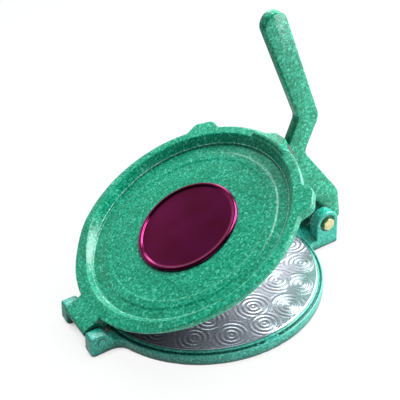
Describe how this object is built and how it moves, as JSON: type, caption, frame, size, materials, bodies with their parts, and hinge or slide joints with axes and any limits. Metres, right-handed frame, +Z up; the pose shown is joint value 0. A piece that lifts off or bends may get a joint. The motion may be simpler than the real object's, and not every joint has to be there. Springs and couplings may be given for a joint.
{
  "type": "roti press",
  "caption": "Hand-lever roti press: a round cast base and a hinged dished lid with facing press plates, and a cranked lever standing in a clevis opposite the hinge.",
  "frame": {"origin": "centre of the round base on the table plane it rests on", "axes": "+Z up, +X from the hinge towards the lever, +Y to the left of a user who faces along +X"},
  "size_m": [0.2806, 0.2158, 0.2371],
  "materials": {
    "green_enamel": "green hammertone enamel on cast iron",
    "bright_sheet": "bright sheet with pressed ring rosettes",
    "zinc_steel": "zinc-plated steel",
    "painted_pin": "steel pin, ends painted with the castings",
    "maroon_plastic": "high-gloss maroon lacquer",
    "foam": "closed-cell foam with adhesive on both faces",
    "yellow_zinc": "pale yellow zinc plate"
  },
  "bodies": {
    "base": {"base_casting": "green_enamel", "lower_press_plate": "bright_sheet", "lower_plate_stud": "zinc_steel", "lower_plate_washer": "zinc_steel", "lower_plate_nut": "zinc_steel", "hinge_pin": "painted_pin", "lever_spacer_near": "zinc_steel", "lever_spacer_far": "zinc_steel", "pivot_bolt": "yellow_zinc", "pivot_lock_washer": "zinc_steel", "pivot_nut": "yellow_zinc"},
    "lid": {"lid_casting": "green_enamel", "upper_press_plate": "bright_sheet", "upper_plate_stud": "zinc_steel", "upper_plate_push_nut": "zinc_steel", "badge_pad": "foam", "badge_disc": "maroon_plastic"},
    "lever": {"lever": "green_enamel"}
  },
  "joints": [
    {"name": "lid_hinge", "type": "hinge", "parent": "base", "child": "lid", "pos_m": [-0.1175, 0, 0.012], "axis": [0, -1, 0], "range_deg": [-25.85, 79]},
    {"name": "lever_pivot", "type": "hinge", "parent": "base", "child": "lever", "pos_m": [0.1249, 0, 0.025], "axis": [0, 1, 0], "range_deg": [0, 17]}
  ]
}
